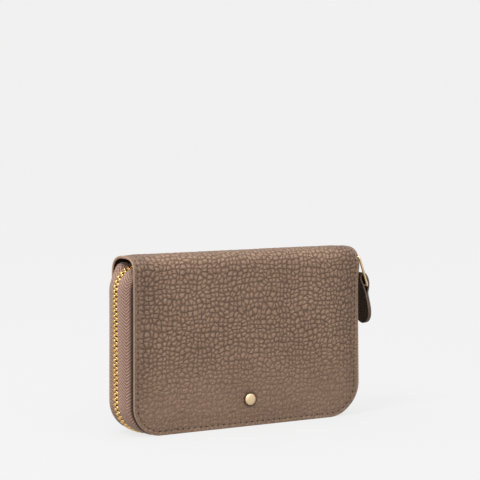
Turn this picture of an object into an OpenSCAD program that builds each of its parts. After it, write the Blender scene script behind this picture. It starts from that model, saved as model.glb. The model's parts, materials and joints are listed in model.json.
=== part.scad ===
// Zip around wallet: two leather covers hinged at a leather spine, closed by a metal zip on three sides.
// The wallet stands on its zip edge with its spine on top. Millimetres, +Z up, front towards -Y.

/* [Cover] */
// Width of the leather cover
cover_w = 141; // [134:1:146]
// Height of the closed wallet, from the zip edge to the top of the spine
cover_h = 95; // [92:1:100]
// Thickness of the closed wallet over both covers
cover_t = 25; // [25:0.5:27]
// Radius of the rounded corners at the zip edge
corner_r = 16; // [14:1:18]
// Radius of the spine's two rounded edges
spine_r = 9; // [8:0.5:9]
// Thickness of the cover leather
leather_t = 1.2; // [1:0.1:1.4]
// Thickness of the stiffening board
board_t = 0.6; // [0.5:0.1:0.7]
// Thickness of the lining, and of the zip tape that lies in the same layer
lining_t = 0.6; // [0.5:0.1:0.6]
// Width of the leather turned over the board's edge
turn_in = 1.5; // [1:0.1:2]
// Distance of the seam from the cover's edge
seam_inset = 2.3; // [2:0.1:3]
// Slack between each cover and the spine, taken up by the fold in the leather
fold_gap = 1.2; // [1.2:0.1:1.6]

/* [Zip] */
// Distance from the wallet's centre to the chain on the left side
chain_left = 74.6; // [74:0.1:76]
// Distance from the wallet's centre to the chain at the foot of the right side
chain_right = 74.4; // [74:0.1:75]
// Lean of the right side's chain towards the spine, in degrees
chain_lean = 1; // [0.5:0.5:2]
// Height of the chain over the table along the bottom
chain_bottom = 1; // [1:0.1:1.4]
// Radius of the chain's curve under the left end of the spine
chain_top_r = 13; // [12:1:14]
// Distance between the teeth of one row
tooth_pitch = 2.6; // [2.4:0.05:2.8]
// Width of one row of teeth
tooth_w = 2.1; // [1.8:0.1:2.1]
// Thickness of a tooth, square to the tape
tooth_h = 1.4; // [1:0.1:1.4]
// Half the gap between the two rows of teeth, for the slider's divider
row_gap = 0.5; // [0.45:0.05:0.7]
// How far the tape bulges out beyond the chain
tape_bulge = 0.75; // [0.4:0.05:0.8]

/* [Slider and pull] */
// Length of the slider
slider_l = 11.5; // [9:0.5:12]
// Thickness of the slider's plates
plate_t = 0.8; // [0.6:0.1:1]
// Diameter of the pull ring's wire
ring_wire = 1.4; // [1.2:0.1:1.6]
// Distance between the centres of the ring's two bars
ring_l = 18.4; // [16:0.2:19]
// Half the distance between the centres of the ring's two legs
ring_half_w = 5.2; // [5:0.1:6]
// Lean of the ring away from the wallet, in degrees
ring_lean = 19.5; // [18:0.1:22]
// Width of the leather tab at its widest
tab_w = 13; // [10:0.5:14]
// Length of the leather tab below the ring's lower bar
tab_l = 21.5; // [16:0.5:22]

/* [Inside] */
// Thickness of a card slot's panel
card_t = 0.5; // [0.4:0.05:0.5]
// Width of a card slot
card_w = 92; // [90:1:92]
// Step between the edges of two card slots
card_step = 10; // [8:0.5:11]
// Thickness of the coin pocket's walls
wall_t = 0.6; // [0.5:0.1:0.6]
// Thickness of the coin pocket, outside
coin_t = 5.6; // [5.4:0.1:5.6]
// Width of the coin pocket
coin_w = 112; // [106:1:112]
// Height of the coin pocket's mouth
coin_z = 24; // [22:0.5:28]
// Depth of the gussets at the mouth
gusset_depth = 17.5; // [14:0.5:18]

/* [Hidden] */
$fn = 48;

taupe = [0.48, 0.39, 0.33];
lining_brown = [0.42, 0.34, 0.29];
mauve = [0.60, 0.49, 0.43];
gold = [0.85, 0.68, 0.38];
board_grey = [0.55, 0.52, 0.48];

// The pull hangs out on the right, so the wallet sits this far left of the middle of the whole
middle_x = -4.3;
eps = 0.01;

// Layers of a cover, counted from the wallet's middle plane
y_face = cover_t / 2;
y_board = y_face - leather_t;
y_tape = y_board - board_t;
y_inside = y_tape - lining_t;
half_w = cover_w / 2;
z_arch = cover_h - spine_r;
z_cover = z_arch - fold_gap;
tape_flange = 5;
lining_inset = tape_flange + 0.2;
lining_half_l = 57;

// Stud: a rivet near the zip edge
stud_z = 14.7;
stud_r = 3.25;
shank_r = 1;

// Card slots, from the lining inwards
card_z = 21;
card_top = 82;
card_y = y_inside - card_t;

// Chain: six stretches, three round and three straight, from under the spine's left end
// round to the top of the right side
corner_left_r = 17;
corner_right_r = 17;
top_centre = [-chain_left + chain_top_r, 76];
left_centre = [-chain_left + corner_left_r, chain_bottom + corner_left_r];
right_centre = [chain_right - corner_right_r, chain_bottom + corner_right_r];
chain_top_z = 90.5;
right_foot = on_arc(right_centre, corner_right_r, chain_lean);
right_l = (chain_top_z - right_foot.y) / cos(chain_lean);
right_head = right_foot + right_l * [-sin(chain_lean), cos(chain_lean)];
stretches = [chain_top_r * PI / 2, top_centre.y - left_centre.y, corner_left_r * PI / 2,
    right_centre.x - left_centre.x, corner_right_r * PI * (90 + chain_lean) / 180, right_l];
chain_l = stretches * [1, 1, 1, 1, 1, 1];
teeth = floor(chain_l / tooth_pitch) - 1;
tooth_l = 1.05;

// Slider
slide_centre = right_head - (slider_l / 2 + 0.1) * [-sin(chain_lean), cos(chain_lean)];
plate_gap = tooth_h / 2 + 0.3;
bail_h = 2.9;
ring_x = plate_gap + plate_t + 1.1;
ring_z = slider_l / 2 - 1.7;
ring_top = slide_centre + turned([ring_x, ring_z], chain_lean);
ring_foot = ring_top + ring_l * [sin(ring_lean), -cos(ring_lean)];
tab_lean = 2.5;

// Coin zip
coin_chain_z = coin_z - 4;
coin_tooth_w = 1.4;
coin_row_gap = 0.45;
coin_tape_t = 0.5;
coin_zip_half_l = 50;
coin_slider_l = 9;
coin_slider_x = coin_zip_half_l - coin_slider_l / 2 - 0.1;

function mix(a, b, f) = a + (b - a) * f;
function on_arc(centre, r, a) = centre + r * [cos(a), sin(a)];
function turned(p, a) = [p.x * cos(a) - p.y * sin(a), p.x * sin(a) + p.y * cos(a)];
function ease(f) = let (c = min(1, max(0, f))) c * c * (3 - 2 * c);

// The chain's line in X and Z at fraction f of stretch k
function chain(k, f) =
    k == 0 ? on_arc(top_centre, chain_top_r, mix(90, 180, f)) :
    k == 1 ? [-chain_left, mix(top_centre.y, left_centre.y, f)] :
    k == 2 ? on_arc(left_centre, corner_left_r, mix(180, 270, f)) :
    k == 3 ? [mix(left_centre.x, right_centre.x, f), chain_bottom] :
    k == 4 ? on_arc(right_centre, corner_right_r, mix(270, 360 + chain_lean, f)) :
    mix(right_foot, right_head, f);

// The direction that points out of the wallet there, as an angle from +X
function outward(k, f) = [mix(90, 180, f), 180, mix(180, 270, f), 270,
    mix(270, 360 + chain_lean, f), 360 + chain_lean][k];

// The point of the leather's edge that the tape leaves there
function leather_edge(k, f) =
    k == 0 ? [-half_w + 9 * (1 - f) * (1 - f), top_centre.y + 11 * sin(90 * (1 - f))] :
    k == 1 ? [-half_w, mix(top_centre.y, corner_r, f)] :
    k == 2 ? on_arc([corner_r - half_w, corner_r], corner_r, mix(180, 270, f)) :
    k == 3 ? [mix(corner_r - half_w, half_w - corner_r, f), 0] :
    k == 4 ? on_arc([half_w - corner_r, corner_r], corner_r, mix(270, 360, f)) :
    [half_w, mix(corner_r, z_cover - 0.8, f)];

// Under the spine's left end the tape narrows, so it clears the spine as the cover opens
function tape_half_w(k, f) = k == 0 ? mix(5.5, y_tape - lining_t / 2, ease((f - 0.2) / 0.4))
    : y_tape - lining_t / 2;
function flange_w(k, f) = k == 0 ? mix(1.5, tape_flange, ease(f / 0.6)) : tape_flange;

// Stretch and fraction at distance s along the chain
function start_of(k) = k == 0 ? 0 : start_of(k - 1) + stretches[k - 1];
function stretch_at(s) = [for (k = [0:5]) if (s >= start_of(k)) k][len([for (k = [0:5])
    if (s >= start_of(k)) k]) - 1];

// Middle line of the tape's cross-section, as [outward, y] from the chain, and its place in space
function tape_line(k, f) =
    let (c = chain(k, f), a = outward(k, f), n = [cos(a), sin(a)], e = leather_edge(k, f),
        d = (c - e) * n, g = tape_bulge * min(1, max(0, d / 3.5)), y_row = row_gap + tooth_w + 0.05)
    [for (p = [
        [e - flange_w(k, f) * n, 1],
        [e + min(-1.8, d - 1.5) * n, 1],
        [e + min(-0.9, d - 0.6) * n, 0.94],
        [mix(e, c, 0.1) + min(0, 0.4 * d) * n, 0.87],
        [mix(e, c, 0.5) + min(0, 0.2 * d) * n, 0.78],
        [mix(e, c, 0.95) + 0.15 * g * n, 0.64],
        [c + 0.8 * g * n, 0.43],
        [c + g * n, 0.27],
        [c + 0.45 * g * n, 0.19],
        [c + 0.07 * g * n, 0.12],
        [c, 0]])
        [(p[0] - c) * n, -mix(y_row, tape_half_w(k, f), p[1]), p[0], n]];

// Cross-section of a sheet of thickness t along a middle line: one side out, the other side back
function sheet_loop(line, t) =
    let (m = len(line),
        side = [for (i = [0:m - 1])
            let (a = line[max(0, i - 1)], b = line[min(m - 1, i + 1)],
                d = [b.x - a.x, b.y - a.y], u = d / norm(d))
            [-u.y, u.x] * t / 2])
    concat([for (i = [0:m - 1]) shifted(line[i], side[i])],
        [for (i = [m - 1:-1:0]) shifted(line[i], -side[i])]);
function shifted(p, o) = [p[2].x + o.x * p[3].x, p.y + o.y, p[2].y + o.x * p[3].y];

// A closed skin over a row of sheet cross-sections
module skin(loops) {
    n = len(loops);
    m = len(loops[0]);
    h = m / 2;
    sides = [for (i = [0:n - 2], j = [0:m - 1]) each
        [[i * m + j, i * m + (j + 1) % m, (i + 1) * m + (j + 1) % m],
         [i * m + j, (i + 1) * m + (j + 1) % m, (i + 1) * m + j]]];
    ends = [for (j = [0:h - 2]) each
        [[j, m - 1 - j, m - 2 - j], [j, m - 2 - j, j + 1],
         [(n - 1) * m + j, (n - 1) * m + m - 2 - j, (n - 1) * m + m - 1 - j],
         [(n - 1) * m + j, (n - 1) * m + j + 1, (n - 1) * m + m - 2 - j]]];
    polyhedron([for (l = loops) each l], concat(sides, ends));
}

// Every sub-part is drawn about the wallet's own middle, then put in the part's frame
module part(c) color(c) translate([middle_x, 0, 0]) children();
module backwards(back) mirror([0, back ? 1 : 0, 0]) children();

// A cover's outline, or the same drawn smaller by inset on its three free sides
module panel_outline(inset, top) {
    r = corner_r - inset;
    w = half_w - inset;
    translate([-w, corner_r]) square([2 * w, top - corner_r]);
    translate([r - w, inset]) square([2 * (w - r), corner_r - inset + eps]);
    for (s = [-1, 1]) translate([s * (w - r), corner_r]) circle(r, $fn = 96);
}

// A flat sheet between two distances from the middle plane, on the front side
module upright(y_near, y_far)
    translate([0, -y_near, 0]) rotate([90, 0, 0]) linear_extrude(y_far - y_near) children();

module rivet_hole()
    translate([0, -y_face - 1, stud_z]) rotate([-90, 0, 0]) cylinder(r = shank_r + 0.05, h = 4);

module cover(back) part(taupe) backwards(back) difference() {
    union() {
        upright(y_board, y_face) panel_outline(0, z_cover);
        upright(y_tape, y_board) difference() {
            panel_outline(0, z_cover);
            panel_outline(turn_in, z_cover + 1);
        }
    }
    seam_band(0.1);
    if (!back) rivet_hole();
}

// The sewn line, sunk into the leather
module seam_band(over) upright(y_face - 0.3, y_face + over) difference() {
    panel_outline(seam_inset - 0.25, z_cover + over);
    panel_outline(seam_inset + 0.25, z_cover + 1);
}

module seam(back) part(lining_brown) backwards(back) seam_band(0);

module board(back) part(board_grey) backwards(back) difference() {
    upright(y_tape, y_board) panel_outline(turn_in + 0.1, z_cover);
    if (!back) rivet_hole();
}

module lining(back) part(lining_brown) backwards(back) difference() {
    upright(y_inside, y_tape) panel_outline(lining_inset, z_cover);
    if (!back) rivet_hole();
}

module stud() part(gold) translate([0, -y_face, stud_z]) rotate([90, 0, 0]) {
    rotate_extrude() intersection() {
        translate([0, -12.5]) circle(13.3, $fn = 96);
        square([stud_r, 1]);
    }
    translate([0, 0, -(y_face - y_inside) - 0.4]) cylinder(r = shank_r, h = y_face - y_inside + 0.5);
}

module stud_washer() part(gold) translate([0, -y_inside, stud_z]) rotate([-90, 0, 0]) difference() {
    cylinder(r = stud_r, h = 0.6);
    translate([0, 0, -1]) cylinder(r = shank_r + 0.05, h = 3);
}

module card_backing(back) part(lining_brown) backwards(back)
    upright(card_y, y_inside) translate([-card_w / 2, card_z]) square([card_w, card_top - card_z + 1]);

module card_slot(back, i) part(taupe) backwards(back)
    upright(card_y - i * card_t, card_y - (i - 1) * card_t)
        translate([-card_w / 2, card_z + 1 + (i - 1) * card_step])
            square([card_w, card_top - card_z - 1 - (i - 1) * card_step]);

module zip_tape(back) part(mauve) backwards(back) skin([for (k = [0:5])
    let (steps = [14, 2, 12, 2, 12, 3][k])
    for (i = [(k == 0 ? 0 : 1):steps]) sheet_loop(tape_line(k, i / steps), lining_t)]);

module at_chain(s) {
    k = stretch_at(s);
    f = (s - start_of(k)) / stretches[k];
    c = chain(k, f);
    translate([c.x, 0, c.y]) rotate([0, -outward(k, f), 0]) children();
}

// The two rows are half a pitch apart along the chain
module zip_teeth(back) part(gold) backwards(back) for (i = [0:teeth])
    at_chain(tooth_pitch * (i + (back ? 0.75 : 0.25)) + 0.2)
        translate([-tooth_h / 2, -row_gap - tooth_w, -tooth_l / 2]) cube([tooth_h, tooth_w, tooth_l]);

module top_stop(back) part(gold) backwards(back)
    translate([right_head.x, 0, right_head.y]) rotate([0, -chain_lean, 0])
        translate([-tooth_h / 2, -row_gap - tooth_w, 0.2]) cube([tooth_h, tooth_w, 1.6]);

module zip_bottom_stop() part(gold)
    translate([top_centre.x + 0.5, -2.3, top_centre.y + chain_top_r - 0.8]) cube([2, 4.6, 1.6]);

// The spine's cross-section in Y and Z, drawn smaller by inset
module arch_outline(inset, z_from) {
    r = spine_r - inset;
    w = y_face - inset;
    translate([-w, z_from]) square([2 * w, z_arch - z_from + eps]);
    translate([r - w, z_arch]) square([2 * (w - r), r]);
    for (s = [-1, 1]) translate([s * (w - r), z_arch]) circle(r, $fn = 96);
}

module arch(outer, inner, half_l) difference() {
    along_x(half_l) intersection() {
        arch_outline(outer, z_arch - eps);
        translate([-y_face, z_arch]) square([cover_t, spine_r]);
    }
    along_x(half_l + 1) arch_outline(inner, z_arch - spine_r);
}

module along_x(half_l) translate([-half_l, 0, 0]) rotate([90, 0, 90]) linear_extrude(2 * half_l) children();

module spine_cover() part(taupe) arch(0, leather_t + board_t, half_w);

module spine_lining() part(lining_brown) arch(leather_t + board_t, y_face - y_inside, lining_half_l);

module coin_wall(back) part(lining_brown) backwards(back) upright(coin_t / 2 - wall_t, coin_t / 2)
    translate([-coin_w / 2, coin_z]) square([coin_w, cover_h - (y_face - y_inside) - coin_z]);

module coin_side(right) part(lining_brown) mirror([right ? 0 : 1, 0, 0])
    translate([coin_w / 2 - wall_t, wall_t - coin_t / 2, coin_z])
        cube([wall_t, coin_t - 2 * wall_t, cover_h - (y_face - y_inside) - coin_z]);

// Two strips of tape, each turned from the chain up to its wall
module coin_zip_tapes() part(mauve) for (back = [false, true]) backwards(back)
    along_x(coin_zip_half_l + 3) polygon([
        [-coin_t / 2, coin_z], [-coin_t / 2, coin_chain_z - coin_tape_t / 2],
        [-coin_row_gap - coin_tooth_w - 0.05, coin_chain_z - coin_tape_t / 2],
        [-coin_row_gap - coin_tooth_w - 0.05, coin_chain_z + coin_tape_t / 2],
        [-coin_t / 2 + coin_tape_t, coin_chain_z + coin_tape_t / 2],
        [-coin_t / 2 + coin_tape_t, coin_z]]);

module coin_zip_teeth() part(gold) for (back = [false, true]) backwards(back)
    for (x = [-coin_zip_half_l:tooth_pitch:coin_zip_half_l - tooth_pitch])
        translate([x + (back ? tooth_pitch / 2 : 0), -coin_row_gap - coin_tooth_w, coin_chain_z - 0.6])
            cube([tooth_l, coin_tooth_w, 1.2]);

module coin_zip_stops() part(gold) for (s = [-1, 1])
    translate([s * (coin_zip_half_l + 1.4) - 0.8, -1.85, coin_chain_z - 0.6]) cube([1.6, 3.7, 1.2]);

// A gusset folds inwards from the cover's lining and from the coin pocket's wall, round a small bend
module gusset(back, right) part(lining_brown) backwards(back) mirror([right ? 0 : 1, 0, 0])
    skin([for (f = [0, 1])
        let (x = coin_w / 2, z = mix(coin_z - 2, z_arch + 2, f), bend_r = 0.45, bend_y = 5.2,
            fold = x - mix(gusset_depth, 3, f) + bend_r, leaf = mix(x, fold, 0.55),
            y_lining = mix(y_inside - 0.45, 8.6, f))
        sheet_loop([for (q = concat([[x, y_lining], [leaf, mix(y_lining, bend_y + bend_r, 0.6)]],
            [for (a = [90:45:270]) on_arc([fold, bend_y], bend_r, a)], [[leaf, 3.9], [x, coin_t / 2 + 0.3]]))
            [q.x, -q.y, [q.x, z], [1, 0]]], 0.5)]);

// Slider about its chain: local X points away from the wallet, Z towards the closed end
module slider(l, w_out, w_in, gap, tape_gap, flange_sides) {
    for (plate = [[gap, w_out], [-gap - plate_t, w_in]])
        translate([plate[0], 0, 0]) rotate([90, 0, 90]) linear_extrude(plate_t)
            polygon([[-w_plate(plate[1]), -l / 2], [w_plate(plate[1]), -l / 2], [plate[1], l / 6],
                [plate[1], l / 2 - 1.5], [plate[1] - 1.5, l / 2], [1.5 - plate[1], l / 2],
                [-plate[1], l / 2 - 1.5], [-plate[1], l / 6]]);
    translate([-gap - eps, 0.1 - row_gap, l / 2 - 3.5]) cube([2 * (gap + eps), 2 * row_gap - 0.2, 2.5]);
    for (s = flange_sides) mirror([0, s < 0 ? 1 : 0, 0])
        translate([tape_gap, w_out - 0.8, -l / 2]) cube([gap - tape_gap + eps, 0.5, l / 2]);
    bail(l, gap + plate_t);
}
function w_plate(w) = w - 0.3;

// The bridge over the outer plate that the pull is hung from
module bail(l, x) translate([0, 1.1, 0]) rotate([90, 0, 0]) linear_extrude(2.2) difference() {
    polygon([[x - eps, -l / 2 + 1.5], [x + bail_h - 1, -l / 2 + 2.5], [x + bail_h, 0.5],
        [x + bail_h, l / 2 - 1.6], [x + bail_h - 0.8, l / 2 - 0.2], [x - eps, l / 2 - 0.1]]);
    polygon([[x, -l / 2 + 3.5], [x + bail_h - 1.7, -l / 2 + 4], [x + bail_h - 0.9, 1],
        [x + bail_h - 0.9, l / 2 - 1.6], [x + bail_h - 1.5, l / 2 - 0.8], [x, l / 2 - 0.8]]);
}

module zip_slider() part(gold) translate([slide_centre.x, 0, slide_centre.y])
    rotate([0, -chain_lean, 0])
        slider(slider_l, 3.6, 3.4, plate_gap, lining_t / 2 + 0.15, [1]);

// A round wire bent to a long ring; local -Z runs from the upper bar to the lower one
module pull_ring() part(gold) translate([ring_top.x, 0, ring_top.y]) rotate([0, -ring_lean, 0]) {
    r = 2;
    for (s = [-1, 1]) {
        translate([0, s * ring_half_w, r - ring_l]) cylinder(d = ring_wire, h = ring_l - 2 * r);
        for (end = [0, 1]) translate([0, s * (ring_half_w - r), end ? -r : r - ring_l])
            mirror([0, s < 0 ? 1 : 0, 0]) mirror([0, 0, end ? 0 : 1]) rotate([0, 90, 0])
                rotate([0, 0, 90]) rotate_extrude(angle = 90) translate([r, 0]) circle(d = ring_wire);
    }
    for (z = [0, -ring_l]) translate([0, ring_half_w - r, z]) rotate([90, 0, 0])
        cylinder(d = ring_wire, h = 2 * (ring_half_w - r));
}

// A strap folded round the ring's lower bar, its two leaves glued together below it
module pull_tab() part(taupe) translate([ring_foot.x, 0, ring_foot.y]) rotate([0, -tab_lean, 0]) {
    difference() {
        translate([0, 4, 0]) rotate([90, 0, 0]) linear_extrude(8) difference() {
            tab_eye(1);
            tab_eye(0);
        }
        translate([-0.2, -5, -5]) cube([0.4, 10, 2]);
    }
    translate([-1, 0, 0]) rotate([90, 0, 90]) linear_extrude(2) tab_leaf();
}
// The eye leans in towards the slider
module tab_eye(t) {
    polygon([[-0.8 - t * 0.9, -2 - t], [0.8 + t * 0.9, -2 - t], [1 + t, 0], [0.7 + t, 3.5],
        [-0.9 + t, 6.4 + 0.6 * t], [-2.2 - 0.2 * t, 7 + t], [-3 - t, 6 + t * 0.2], [-2.6 - t, 3.5],
        [-1 - t, 0]]);
}
module tab_leaf() {
    w = tab_w / 2;
    polygon([[-4, -2], [4, -2], [w - 0.8, -9], [w, -tab_l + w], [-w, -tab_l + w], [0.8 - w, -9]]);
    translate([0, -tab_l + w]) intersection() {
        circle(w, $fn = 64);
        translate([-w, -w]) square([2 * w, w + eps]);
    }
}

module coin_slider() part(gold) translate([coin_slider_x, 0, coin_chain_z]) rotate([0, 90, 0])
    slider(coin_slider_l, 2.9, 2.1, 0.9, coin_tape_t / 2 + 0.15, []);

// A small flat pull with an eye, hung from the coin slider's bridge
module coin_pull() part(gold)
    translate([coin_slider_x + 2.6, 0, coin_chain_z - 0.9 - plate_t - 1.1]) {
        rotate([90, 0, 0]) cylinder(d = 1.2, h = 5.2, center = true);
        for (s = [-1, 1]) translate([-0.5, s * 2.1 - 0.5, -4]) cube([1, 1, 4]);
        translate([-0.5, -2.6, -12]) cube([1, 5.2, 8 + eps]);
    }

cover(false);  // front_cover
board(false);  // front_board
lining(false);  // front_lining
seam(false);  // front_seam
zip_tape(false);  // front_zip_tape
zip_teeth(false);  // front_zip_teeth
top_stop(false);  // front_top_stop
stud();
stud_washer();
card_backing(false);  // front_card_backing
card_slot(false, 1);  // front_card_slot_1
card_slot(false, 2);  // front_card_slot_2
card_slot(false, 3);  // front_card_slot_3
card_slot(false, 4);  // front_card_slot_4
cover(true);  // back_cover
board(true);  // back_board
lining(true);  // back_lining
seam(true);  // back_seam
zip_tape(true);  // back_zip_tape
zip_teeth(true);  // back_zip_teeth
top_stop(true);  // back_top_stop
card_backing(true);  // back_card_backing
card_slot(true, 1);  // back_card_slot_1
card_slot(true, 2);  // back_card_slot_2
card_slot(true, 3);  // back_card_slot_3
card_slot(true, 4);  // back_card_slot_4
spine_cover();
spine_lining();
coin_wall(false);  // coin_wall_front
coin_wall(true);  // coin_wall_back
coin_side(false);  // coin_side_left
coin_side(true);  // coin_side_right
coin_zip_tapes();
coin_zip_teeth();
coin_zip_stops();
gusset(false, false);  // gusset_front_left
gusset(false, true);  // gusset_front_right
gusset(true, false);  // gusset_back_left
gusset(true, true);  // gusset_back_right
zip_bottom_stop();
zip_slider();
pull_ring();
pull_tab();
coin_slider();
coin_pull();
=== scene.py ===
"""The looks of a zip around wallet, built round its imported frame.

Helpers work in millimetres about the wallet's own middle: X along its width, Y from the front cover to
the back cover, Z up from the zip edge. finished() turns a shape into the frame's metres.
"""
import functools
import json
import math

import bmesh
import bpy
from mathutils import Matrix, Vector, noise


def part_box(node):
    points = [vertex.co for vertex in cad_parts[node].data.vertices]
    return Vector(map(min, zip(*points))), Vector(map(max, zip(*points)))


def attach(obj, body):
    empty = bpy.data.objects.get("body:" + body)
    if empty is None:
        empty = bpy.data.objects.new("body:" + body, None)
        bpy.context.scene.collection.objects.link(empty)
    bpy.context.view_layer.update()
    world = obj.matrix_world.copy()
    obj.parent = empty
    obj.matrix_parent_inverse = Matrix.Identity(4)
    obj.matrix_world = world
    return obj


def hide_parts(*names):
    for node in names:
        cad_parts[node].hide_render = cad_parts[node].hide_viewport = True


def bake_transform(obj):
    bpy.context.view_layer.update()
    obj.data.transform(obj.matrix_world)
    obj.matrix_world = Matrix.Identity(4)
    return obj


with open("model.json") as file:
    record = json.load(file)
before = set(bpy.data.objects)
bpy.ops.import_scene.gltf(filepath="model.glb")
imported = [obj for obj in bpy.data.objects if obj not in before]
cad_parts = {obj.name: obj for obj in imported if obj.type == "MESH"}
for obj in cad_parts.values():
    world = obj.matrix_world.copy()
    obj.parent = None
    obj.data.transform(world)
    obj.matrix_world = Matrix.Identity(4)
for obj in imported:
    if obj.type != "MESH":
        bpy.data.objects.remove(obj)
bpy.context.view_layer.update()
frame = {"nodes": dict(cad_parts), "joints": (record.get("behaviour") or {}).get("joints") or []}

MM = 0.001

# ---------------------------------------------------------------- sizes from the frame; MIDDLE is in metres
cover_low, cover_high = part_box("front_cover")
spine_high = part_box("spine_cover")[1]
stud_low, stud_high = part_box("stud")
MIDDLE = (cover_low.x + cover_high.x) / 2
HALF_W = (cover_high.x - cover_low.x) / 2 / MM
HEIGHT = spine_high.z / MM
FACE = spine_high.y / MM
STUD_X = (stud_low.x + stud_high.x) / 2 / MM - MIDDLE / MM
STUD_Z = (stud_low.z + stud_high.z) / 2 / MM
STUD_R = (stud_high.x - stud_low.x) / 2 / MM

# ---------------------------------------------------------------- sizes of the leather and the zip
CORNER = 16.0
RIGHT_CORNER = 18.0
LEATHER_T = 1.8
LEATHER_ROUND = 0.55
MESH_STEP = 0.62
SEAM_INSET = 2.3
STITCH = 3.55
TAPE_T = 0.6
TAPE_W = 15.0
TAPE_Y = FACE - 2.1
TAPE_BULGE = 0.75
ROW_EDGE = 2.65
TOOTH_PITCH = 2.6
ZIP_SLIDER_L = 11.5
COIN_SLIDER_L = 9
COIN_SLIDER_X = 45.4


def joint(name):
    return next(j for j in frame["joints"] if j["name"] == name)


def pivot(name):
    """A hinge's place in X and Z, in millimetres about the wallet's middle."""
    place = joint(name)["pos_m"]
    return Vector(((place[0] - MIDDLE) / MM, 0, place[2] / MM))


# ---------------------------------------------------------------- small sums
def mix(a, b, f):
    return a + (b - a) * f


def ease(f):
    f = min(1.0, max(0.0, f))
    return f * f * (3 - 2 * f)


def hump(x, width):
    return math.exp(-(x / width) ** 2)


def smooth_line(points, t):
    """A point on the smooth curve through evenly spaced points, t from 0 to 1."""
    last = len(points) - 1
    place = min(max(t, 0.0), 1.0) * last
    i = min(int(place), last - 1)
    f = place - i
    a, b, c, d = (points[min(max(i + k, 0), last)] for k in (-1, 0, 1, 2))
    return (2 * b + (c - a) * f + (2 * a - 5 * b + 4 * c - d) * f ** 2
            + (3 * b - a - 3 * c + d) * f ** 3) / 2


def evenly(line, steps):
    """A bent line's length, and points on it at even distances."""
    far = [0.0]
    for a, b in zip(line, line[1:]):
        far.append(far[-1] + (b - a).length)
    even, i = [], 0
    for n in range(steps + 1):
        want = far[-1] * n / steps
        while i < len(line) - 2 and far[i + 1] < want:
            i += 1
        even.append(line[i].lerp(line[i + 1], (want - far[i]) / max(1e-6, far[i + 1] - far[i])))
    return far[-1], even


# ---------------------------------------------------------------- paths of straight and round stretches
def straight(start, end):
    start, end = Vector(start), Vector(end)
    run = end - start
    facing = math.atan2(run.y, run.x) - math.pi / 2
    return {"long": run.length, "at": lambda f: (start + run * f, facing)}


def bend(centre, radius, from_deg, to_deg):
    """A round stretch; its angles are also the way that it faces."""
    centre = Vector(centre)
    low, high = math.radians(from_deg), math.radians(to_deg)

    def at(f):
        angle = mix(low, high, f)
        return centre + radius * Vector((math.cos(angle), math.sin(angle))), angle
    return {"long": radius * abs(high - low), "at": at}


def locate(path, s):
    """The stretch that distance s falls on, and how far along it, from 0 to 1."""
    for k, stretch in enumerate(path):
        if s <= stretch["long"] or k == len(path) - 1:
            return k, s / stretch["long"]
        s -= stretch["long"]


def length(path):
    return sum(stretch["long"] for stretch in path)


# ---------------------------------------------------------------- making objects
def finished(bm, name, body, materials, replaced=(), crease_deg=40):
    """Turns a shape in millimetres into an object in the frame's metres that rides on a body."""
    bmesh.ops.scale(bm, vec=(MM, MM, MM), verts=bm.verts)
    bmesh.ops.translate(bm, vec=(MIDDLE, 0, 0), verts=bm.verts)
    mesh = bpy.data.meshes.new(name)
    bm.to_mesh(mesh)
    bm.free()
    for polygon in mesh.polygons:
        polygon.use_smooth = True
    mesh.set_sharp_from_angle(angle=math.radians(crease_deg))
    piece = bpy.data.objects.new(name, mesh)
    bpy.context.scene.collection.objects.link(piece)
    for material in materials if isinstance(materials, (list, tuple)) else [materials]:
        mesh.materials.append(material)
    if body:
        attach(piece, body)
    if replaced:
        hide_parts(*replaced)
    return piece


RIM_TURN = 1.2          # a rim edge turns by more than this, in radians
RIM_SLANT = 0.85        # a rim face slants more than a face with this height of normal


def sheet(across, along, steps, thickness, place, outline=None, round_over=0.0, open_top=False,
          rim_slot=0, inner_slot=0):
    """A bmesh of a sheet cut flat, then put in place by place(u, v, depth).

    u runs across from -across / 2 to across / 2, v from 0 to along, and depth from the good side inwards.
    The UV map keeps the flat cut, in decimetres, so a pattern follows the sheet. open_top leaves the edge
    at the end of v square, where another sheet carries on.
    """
    bm = bmesh.new()
    bmesh.ops.create_grid(bm, x_segments=steps[0], y_segments=steps[1], size=0.5)
    bmesh.ops.scale(bm, vec=(across, along, 1), verts=bm.verts)
    bmesh.ops.translate(bm, vec=(0, along / 2, 0), verts=bm.verts)
    if outline:
        for vert in bm.verts:
            vert.co.x, vert.co.y = outline(vert.co.x, vert.co.y)
    bm.normal_update()
    bmesh.ops.solidify(bm, geom=bm.faces[:], thickness=thickness)
    bm.normal_update()
    low = min(v.co.z for v in bm.verts)
    for vert in bm.verts:
        vert.co.z = -thickness if vert.co.z - low < thickness / 2 else 0.0
    bm.normal_update()
    if round_over:
        rim = [e for e in bm.edges if e.is_manifold and e.calc_face_angle(0) > RIM_TURN
               and not (open_top and min(v.co.y for v in e.verts) > along - 1e-4)]
        bmesh.ops.bevel(bm, geom=rim, offset=round_over, segments=3, profile=0.5, affect="EDGES",
                        material=-1, clamp_overlap=True)
    bm.normal_update()
    flat = bm.loops.layers.uv.new("flat")
    for face in bm.faces:
        depth = -face.calc_center_median().z
        face.material_index = (inner_slot if depth > thickness * 0.99 else
                               rim_slot if abs(face.normal.z) < RIM_SLANT else 0)
        for loop in face.loops:
            loop[flat].uv = (loop.vert.co.x / 100, loop.vert.co.y / 100)
    for vert in bm.verts:
        vert.co = place(vert.co.x, vert.co.y, -vert.co.z)
    bmesh.ops.recalc_face_normals(bm, faces=bm.faces)
    return bm


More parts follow.
